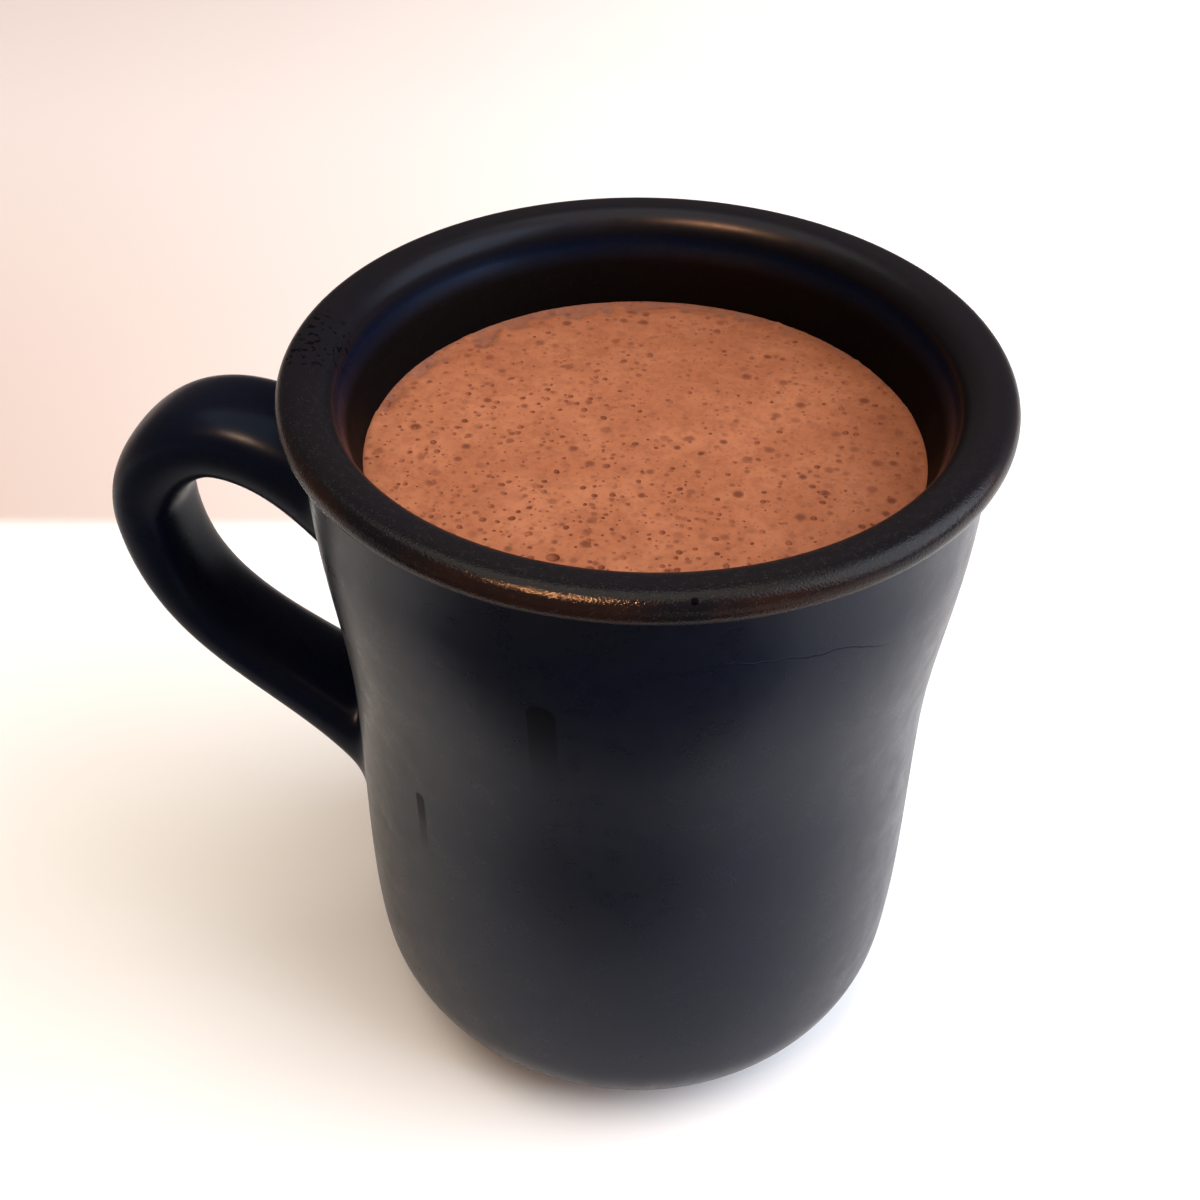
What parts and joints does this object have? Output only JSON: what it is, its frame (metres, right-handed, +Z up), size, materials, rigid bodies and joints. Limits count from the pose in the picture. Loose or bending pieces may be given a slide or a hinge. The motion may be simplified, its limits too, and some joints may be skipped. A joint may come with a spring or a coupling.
{
  "type": "hot chocolate in a mug",
  "caption": "Heavy glazed stoneware mug with a rolled rim and a looped handle, filled almost to the brim with frothy hot chocolate.",
  "frame": {"origin": "centre of the foot ring, on the plane that the mug stands on", "axes": "+Z up along the mug's axis, -X along the handle, +Y across it"},
  "size_m": [0.1175, 0.088, 0.106],
  "materials": {
    "black_glaze": "satin black glaze on stoneware",
    "cocoa_froth": "fine moist froth with open bubbles"
  },
  "bodies": {
    "root": {"mug": "black_glaze", "hot_chocolate": "cocoa_froth"}
  },
  "joints": []
}
